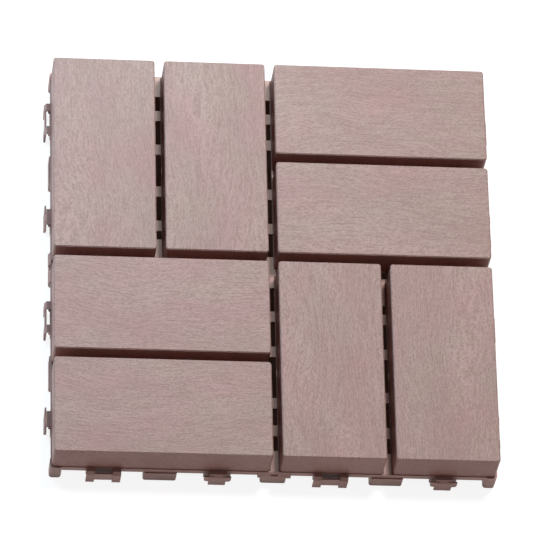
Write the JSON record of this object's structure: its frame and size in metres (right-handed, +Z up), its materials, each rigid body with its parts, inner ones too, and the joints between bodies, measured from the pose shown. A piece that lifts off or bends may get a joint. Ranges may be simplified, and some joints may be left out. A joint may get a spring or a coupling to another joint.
{
  "type": "interlocking deck tile",
  "caption": "Square outdoor deck tile: wood-grain moulded slats in a basket pattern, clipped to a ribbed base with feet, drain slots and snap edge connectors.",
  "frame": {"origin": "middle of the tile on the ground plane under the feet", "axes": "+Z up out of the walking surface, X and Y along the tile's sides, front side at -Y"},
  "size_m": [0.3028, 0.3028, 0.039],
  "materials": {
    "slat": "pinkish taupe polypropylene with a fine embossed wood grain, matte",
    "base": "brown polypropylene, smooth as moulded"
  },
  "bodies": {
    "root": {"base_grid": "base", "slat_back_left_outer": "slat", "slat_back_left_inner": "slat", "slat_back_right_outer": "slat", "slat_back_right_inner": "slat", "slat_front_right_outer": "slat", "slat_front_right_inner": "slat", "slat_front_left_outer": "slat", "slat_front_left_inner": "slat"}
  },
  "joints": []
}
